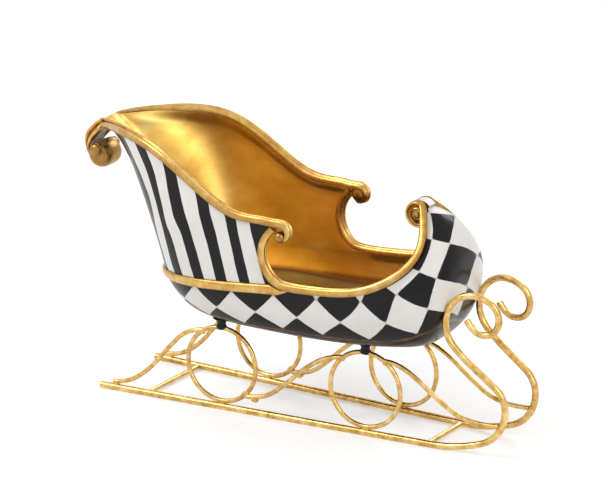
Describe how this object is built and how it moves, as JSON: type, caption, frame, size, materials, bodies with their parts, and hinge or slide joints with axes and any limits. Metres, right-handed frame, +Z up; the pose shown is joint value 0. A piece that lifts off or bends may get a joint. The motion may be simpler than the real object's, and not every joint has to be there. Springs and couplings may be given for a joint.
{
  "type": "decorative tabletop sleigh",
  "caption": "Tabletop model of a swan-backed open sleigh: gilded shell painted with stripes and a harlequin pattern, on bent-wire runners and hoops.",
  "frame": {"origin": "centre of the bounding box at the underside of the runners", "axes": "+X towards the front (runner curls), +Y to the sleigh's left, +Z up"},
  "size_m": [0.4348, 0.1426, 0.2444],
  "materials": {
    "hull_paint": "glossy black and white harlequin paint outside, gold leaf inside",
    "back_paint": "semi-gloss black and white stripes outside, gold leaf inside",
    "gilding": "rubbed gold leaf over a red-brown ground",
    "wire_gilding": "rubbed gold leaf on wire",
    "pad_paint": "semi-gloss black paint"
  },
  "bodies": {
    "root": {"hull": "hull_paint", "back": "back_paint", "seat_floor": "gilding", "belt_moulding": "gilding", "back_scroll": "back_paint", "back_eye": "gilding", "dash_scroll": "hull_paint", "dash_eye": "gilding", "upper_rim_left": "gilding", "door_rim_left": "gilding", "arm_eye_left": "gilding", "upper_rim_right": "gilding", "door_rim_right": "gilding", "arm_eye_right": "gilding", "runner_left": "wire_gilding", "ring_rear_left": "wire_gilding", "ring_front_left": "wire_gilding", "s_wire_rear_left": "wire_gilding", "s_wire_middle_left": "wire_gilding", "s_wire_front_left": "wire_gilding", "runner_right": "wire_gilding", "ring_rear_right": "wire_gilding", "ring_front_right": "wire_gilding", "s_wire_rear_right": "wire_gilding", "s_wire_middle_right": "wire_gilding", "s_wire_front_right": "wire_gilding", "cross_bar_rear": "wire_gilding", "cross_bar_front": "wire_gilding", "pad_rear_left": "pad_paint", "pad_rear_right": "pad_paint", "pad_front_left": "pad_paint", "pad_front_right": "pad_paint"}
  },
  "joints": []
}
